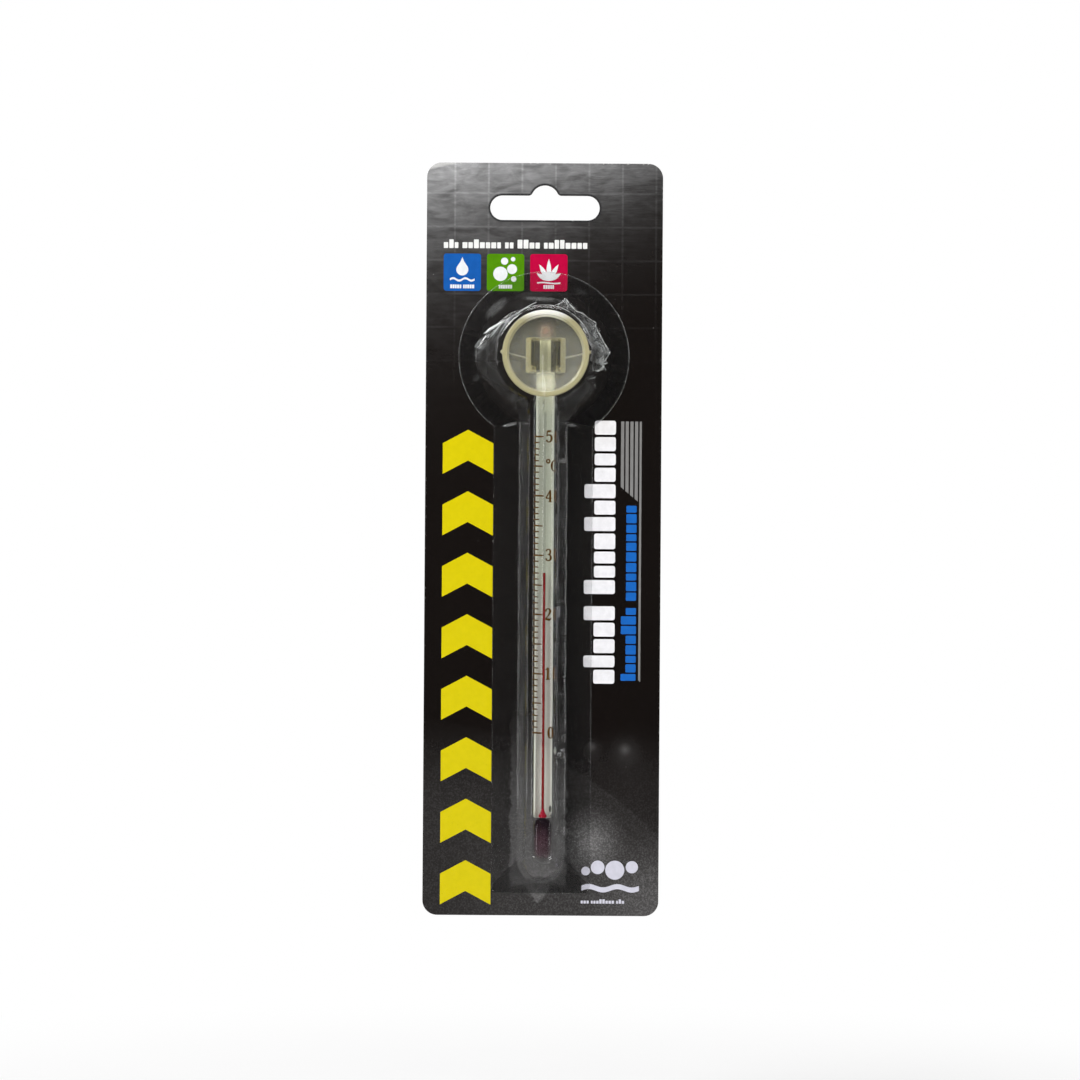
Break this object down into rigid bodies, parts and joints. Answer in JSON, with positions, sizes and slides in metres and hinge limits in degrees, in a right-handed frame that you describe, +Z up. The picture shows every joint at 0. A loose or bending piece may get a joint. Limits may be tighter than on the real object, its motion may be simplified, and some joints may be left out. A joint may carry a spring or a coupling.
{
  "type": "glass thermometer",
  "caption": "Glass spirit thermometer with a white backed stem and a clear suction cup, held under a clear blister on a hang card.",
  "frame": {"origin": "the top of the hang slot's hump, where it bears on a peg, in the middle of the board's thickness", "axes": "+Z up along the stem, -Y out of the printed face, +X to the right as the printed face is read"},
  "size_m": [0.069, 0.019, 0.22],
  "materials": {
    "greyboard": "matte cut edge of a coated board",
    "front_print": "glossy lacquered print, near black",
    "back_liner": "matte uncoated liner",
    "seal_lacquer": "clear gloss lacquer",
    "clear_film": "clear thermoformed sheet",
    "soft_pvc": "translucent soft, slightly yellowed",
    "stem_glass": "clear polished",
    "white_enamel": "opaque white, glossy",
    "bulb_glass": "clear polished",
    "bulb_spirit": "dark red liquid",
    "scale_ink": "fired brown ink",
    "column_spirit": "red liquid"
  },
  "bodies": {
    "card": {"card_board": "greyboard", "front_print_sheet": "front_print", "back_liner_sheet": "back_liner", "heat_seal_band": "seal_lacquer"},
    "blister": {"blister": "clear_film"},
    "suction_cup": {"suction_cup": "soft_pvc"},
    "stem": {"glass_stem": "stem_glass", "enamel_strip": "white_enamel", "bulb_glass": "bulb_glass", "spirit_fill": "bulb_spirit", "one_degree_marks": "scale_ink", "five_degree_marks": "scale_ink", "ten_degree_marks": "scale_ink"},
    "spirit_column": {"spirit_column": "column_spirit"}
  },
  "joints": [
    {"name": "blister_lift", "type": "slide", "parent": "card", "child": "blister", "axis": [0, -1, 0], "range_m": [0, 0.045]},
    {"name": "thermometer_lift", "type": "slide", "parent": "card", "child": "suction_cup", "axis": [0, -1, 0], "range_m": [0, 0.0225]},
    {"name": "stem_twist", "type": "hinge", "parent": "suction_cup", "child": "stem", "pos_m": [0.0005, -0.0063, 0], "axis": [0, 0, 1], "continuous": true},
    {"name": "spirit_level", "type": "slide", "parent": "stem", "child": "spirit_column", "axis": [0, 0, 1], "range_m": [-0.04633, 0.03947], "deforming": ["spirit_column"]}
  ],
  "couplings": [
    {"joint": "thermometer_lift", "follows": "blister_lift", "ratio": 0.5}
  ]
}
